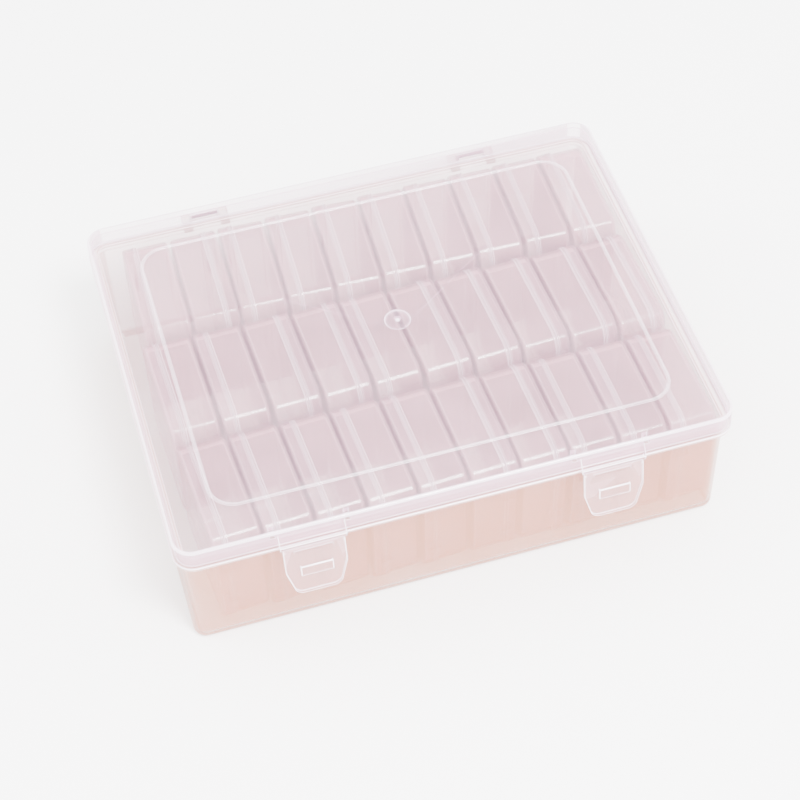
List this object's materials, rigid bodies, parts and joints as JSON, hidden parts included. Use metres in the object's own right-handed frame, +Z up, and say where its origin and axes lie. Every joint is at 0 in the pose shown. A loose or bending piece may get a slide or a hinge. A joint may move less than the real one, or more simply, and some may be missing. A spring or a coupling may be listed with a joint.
{
  "type": "craft storage case",
  "caption": "Clear shallow storage case with a hinged lid and two flap latches, holding rows of small clamshell boxes on edge.",
  "frame": {"origin": "middle of the case's flat underside", "axes": "+X along the case's width to the right, +Y from the latches to the hinges, +Z up"},
  "size_m": [0.23, 0.1919, 0.0639],
  "materials": {
    "case_plastic": "clear polypropylene, slightly milky",
    "lid_plastic": "clear polypropylene, glossy",
    "latch_plastic": "clear polypropylene, slightly milky",
    "mini_base_plastic": "clear polypropylene",
    "mini_lid_plastic": "clear polypropylene",
    "mini_box_plastic": "clear polypropylene"
  },
  "bodies": {
    "case": {"case_base": "case_plastic", "mini_base_front_01": "mini_base_plastic", "mini_base_front_02": "mini_base_plastic", "mini_base_front_03": "mini_base_plastic", "mini_base_front_04": "mini_base_plastic", "mini_base_front_05": "mini_base_plastic", "mini_base_front_06": "mini_base_plastic", "mini_base_front_07": "mini_base_plastic", "mini_base_front_08": "mini_base_plastic", "mini_base_front_09": "mini_base_plastic", "mini_base_front_10": "mini_base_plastic", "mini_base_middle_01": "mini_base_plastic", "mini_base_middle_02": "mini_base_plastic", "mini_base_middle_03": "mini_base_plastic", "mini_base_middle_04": "mini_base_plastic", "mini_base_middle_05": "mini_base_plastic", "mini_base_middle_06": "mini_base_plastic", "mini_base_middle_07": "mini_base_plastic", "mini_base_middle_08": "mini_base_plastic", "mini_base_middle_09": "mini_base_plastic", "mini_base_middle_10": "mini_base_plastic", "mini_lid_front_01": "mini_lid_plastic", "mini_lid_front_02": "mini_lid_plastic", "mini_lid_front_03": "mini_lid_plastic", "mini_lid_front_04": "mini_lid_plastic", "mini_lid_front_05": "mini_lid_plastic", "mini_lid_front_06": "mini_lid_plastic", "mini_lid_front_07": "mini_lid_plastic", "mini_lid_front_08": "mini_lid_plastic", "mini_lid_front_09": "mini_lid_plastic", "mini_lid_front_10": "mini_lid_plastic", "mini_lid_middle_01": "mini_lid_plastic", "mini_lid_middle_02": "mini_lid_plastic", "mini_lid_middle_03": "mini_lid_plastic", "mini_lid_middle_04": "mini_lid_plastic", "mini_lid_middle_05": "mini_lid_plastic", "mini_lid_middle_06": "mini_lid_plastic", "mini_lid_middle_07": "mini_lid_plastic", "mini_lid_middle_08": "mini_lid_plastic", "mini_lid_middle_09": "mini_lid_plastic", "mini_lid_middle_10": "mini_lid_plastic", "mini_box_back_01": "mini_box_plastic", "mini_box_back_02": "mini_box_plastic", "mini_box_back_03": "mini_box_plastic", "mini_box_back_04": "mini_box_plastic", "mini_box_back_05": "mini_box_plastic", "mini_box_back_06": "mini_box_plastic", "mini_box_back_07": "mini_box_plastic", "mini_box_back_08": "mini_box_plastic", "mini_box_back_09": "mini_box_plastic", "mini_box_back_10": "mini_box_plastic"},
    "lid": {"case_lid": "lid_plastic"},
    "latch_left": {"latch_left": "latch_plastic"},
    "latch_right": {"latch_right": "latch_plastic"}
  },
  "joints": [
    {"name": "lid_hinge", "type": "hinge", "parent": "case", "child": "lid", "pos_m": [0, 0.0926, 0.0537], "axis": [-1, 0, 0], "range_deg": [0, 115]},
    {"name": "latch_left_hinge", "type": "hinge", "parent": "lid", "child": "latch_left", "pos_m": [-0.0614, -0.0922, 0.05375], "axis": [-1, 0, 0], "range_deg": [0, 90]},
    {"name": "latch_right_hinge", "type": "hinge", "parent": "lid", "child": "latch_right", "pos_m": [0.0614, -0.0922, 0.05375], "axis": [-1, 0, 0], "range_deg": [0, 90]}
  ]
}
